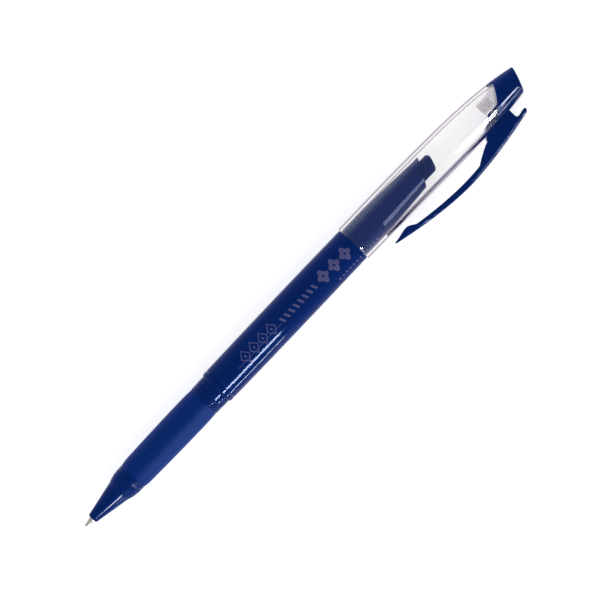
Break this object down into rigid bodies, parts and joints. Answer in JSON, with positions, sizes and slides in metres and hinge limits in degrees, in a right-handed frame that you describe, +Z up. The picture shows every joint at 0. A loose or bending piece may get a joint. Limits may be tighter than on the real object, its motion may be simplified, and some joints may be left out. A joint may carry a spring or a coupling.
{
  "type": "gel pen",
  "caption": "Capped gel pen with the clear cap posted on the barrel, a blue crown with a bowed clip, rubber grip, cone nose and fine metal nib.",
  "frame": {"origin": "bottom centre of the bounding box, under the middle of the lying pen", "axes": "+X along the pen from nib to cap top, -Y towards the clip, +Z up, with the clip level"},
  "size_m": [0.1662, 0.0176, 0.0114],
  "materials": {
    "navy_plastic": "glossy dark blue moulding, polished mould",
    "clear_plastic": "clear styrene, polished",
    "grip_rubber": "soft matt blue rubber",
    "nib_metal": "turned nickel silver",
    "carbide": "polished tungsten carbide",
    "spring_steel": "drawn wire",
    "tube_plastic": "translucent polypropylene",
    "holder_plastic": "natural white moulding",
    "gel_ink": "dark blue gel",
    "follower_grease": "clear yellowish grease",
    "seal_rubber": "translucent grey elastomer"
  },
  "bodies": {
    "pen_barrel": {"barrel": "navy_plastic", "end_plug": "navy_plastic"},
    "refill": {"ink_tube": "tube_plastic", "gel_ink": "gel_ink", "follower": "follower_grease", "tip_holder": "holder_plastic", "nib": "nib_metal", "ball_spring": "spring_steel"},
    "section": {"front_section": "navy_plastic", "grip_sleeve": "grip_rubber", "nose_cone": "navy_plastic"},
    "ball": {"ball": "carbide"},
    "cap": {"cap_shell": "clear_plastic", "cap_crown": "navy_plastic", "tip_seal": "seal_rubber"},
    "clip": {"clip": "navy_plastic"}
  },
  "joints": [
    {"name": "cap_pull", "type": "slide", "parent": "pen_barrel", "child": "cap", "axis": [1, 0, 0], "range_m": [0, 0.0323]},
    {"name": "clip_flex", "type": "hinge", "parent": "cap", "child": "clip", "pos_m": [0.07248, -0.00312, 0.0057], "axis": [0, 0, 1], "range_deg": [0, 4], "stiffness_Nm_per_rad": 0.8},
    {"name": "section_screw", "type": "slide", "parent": "pen_barrel", "child": "refill", "axis": [-1, 0, 0], "range_m": [0, 0.0068]},
    {"name": "section_turn", "type": "hinge", "parent": "refill", "child": "section", "pos_m": [-0.05567, 0.00318, 0.0057], "axis": [-1, 0, 0], "range_deg": [0, 2448.5]},
    {"name": "ball_roll", "type": "hinge", "parent": "refill", "child": "ball", "pos_m": [-0.08276, 0.00318, 0.0057], "axis": [0, 0, 1], "continuous": true}
  ],
  "couplings": [
    {"joint": "section_turn", "follows": "section_screw", "rad_per_m": 6283.2}
  ]
}
